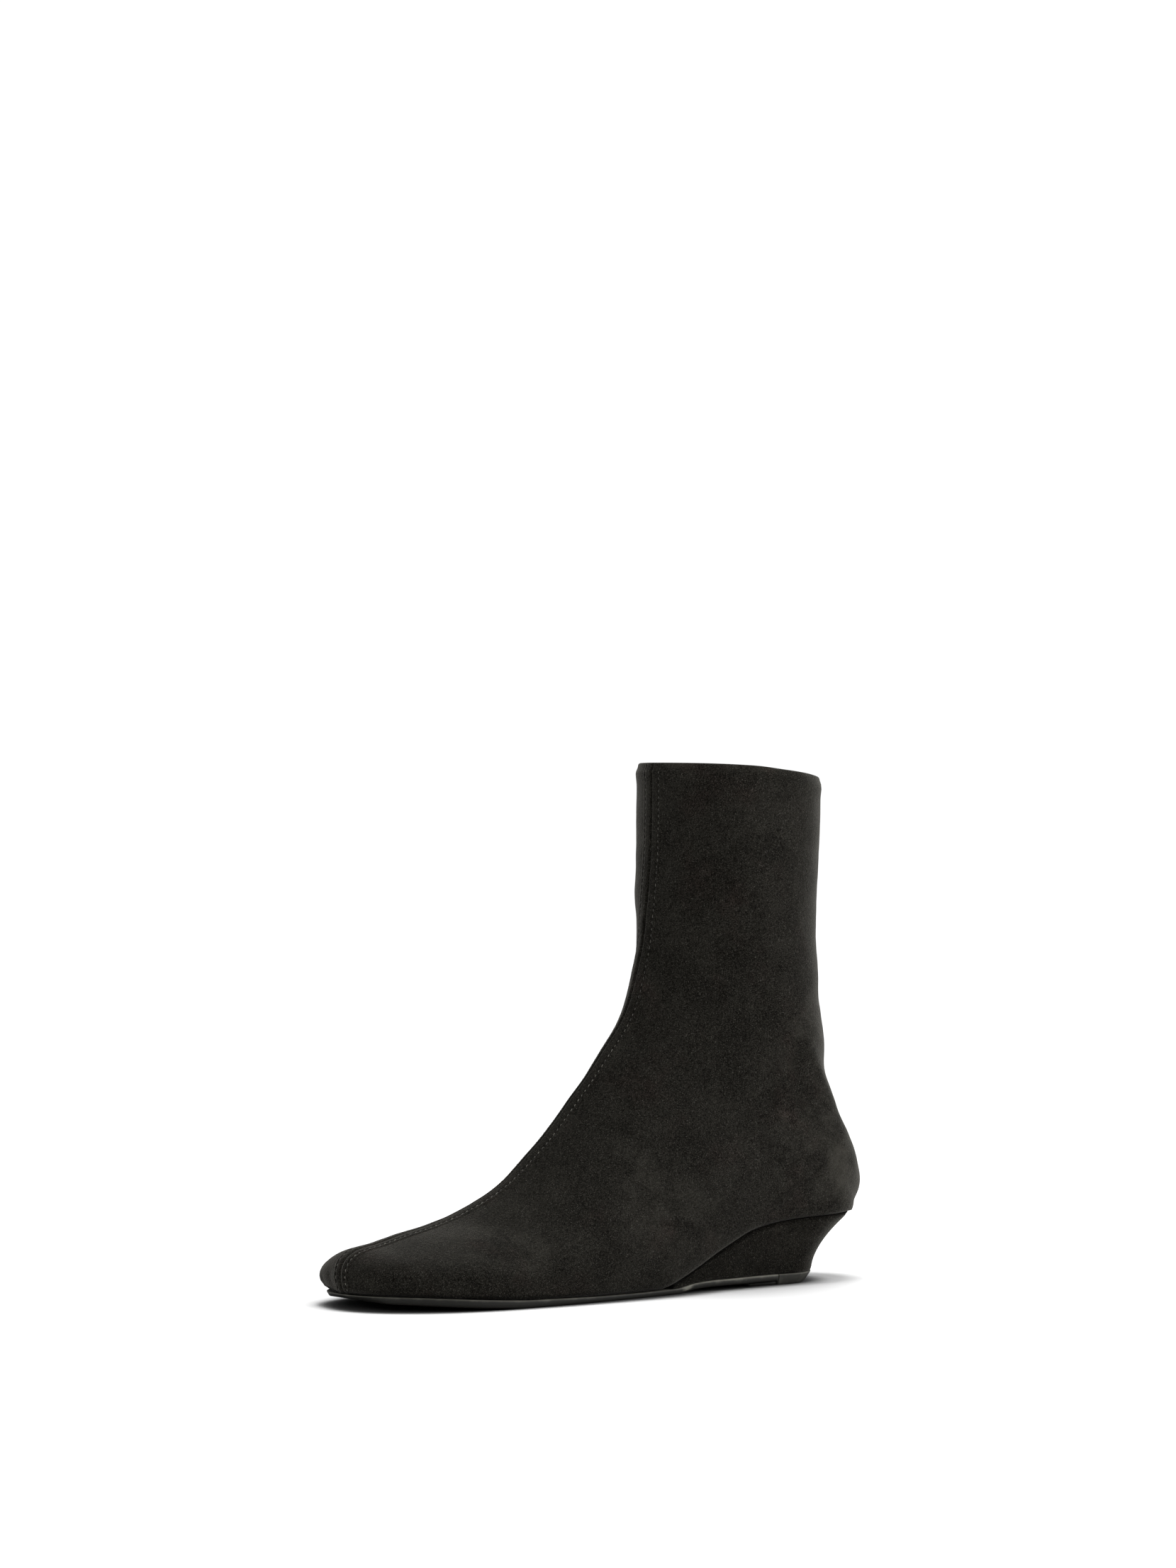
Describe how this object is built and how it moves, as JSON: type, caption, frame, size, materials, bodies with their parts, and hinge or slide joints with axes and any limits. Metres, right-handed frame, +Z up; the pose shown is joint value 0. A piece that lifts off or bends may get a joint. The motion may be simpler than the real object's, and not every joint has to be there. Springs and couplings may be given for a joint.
{
  "type": "ankle boot",
  "caption": "Left suede ankle boot with a seam down the front, a plain collar and a low covered wedge heel on a thin rubber sole.",
  "frame": {"origin": "centre of the bounding box on the floor plane that the boot stands on", "axes": "+X from heel to toe, +Y to the wearer's left, which is the outer side of this left boot, +Z up"},
  "size_m": [0.2584, 0.0838, 0.2169],
  "materials": {
    "suede": "napped black suede, matt",
    "dark_suede": "black suede stretched over the wedge, matt",
    "rubber": "worn dark rubber, half matt",
    "lining": "dark textile sock, matt"
  },
  "bodies": {
    "root": {"upper": "suede", "wedge": "dark_suede", "outsole": "rubber", "insole": "lining", "top_lift": "rubber"}
  },
  "joints": []
}
